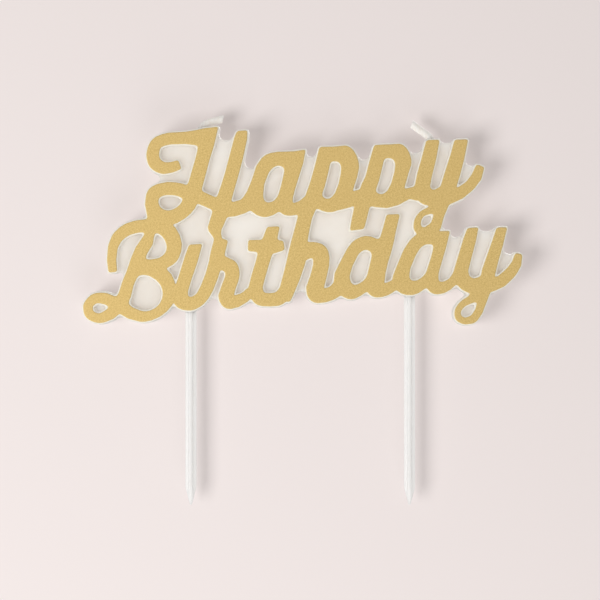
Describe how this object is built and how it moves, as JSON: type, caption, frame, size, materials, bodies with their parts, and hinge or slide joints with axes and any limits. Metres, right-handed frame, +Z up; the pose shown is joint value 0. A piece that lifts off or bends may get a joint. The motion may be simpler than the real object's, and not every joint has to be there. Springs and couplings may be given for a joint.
{
  "type": "script birthday candle",
  "caption": "Flat white wax cake candle cast as the script words Happy Birthday, with gold raised faces, wicks on top and push-in picks below.",
  "frame": {"origin": "on the cake's surface, midway between the two picks and in their common plane", "axes": "+Z up, the words run along +X and are read from the -Y side, looking along +Y"},
  "size_m": [0.131, 0.0077, 0.1159],
  "materials": {
    "wax": "satin, slightly translucent white paraffin wax",
    "gold_layer": "matt, finely grained metallic gold layer",
    "wick": "braided cotton stiffened with wax",
    "pick": "glossy white moulded plastic"
  },
  "bodies": {
    "root": {"wax_body": "wax", "gold_lettering": "gold_layer", "wick_left": "wick", "wick_right": "wick", "pick_left": "pick", "pick_right": "pick"}
  },
  "joints": []
}
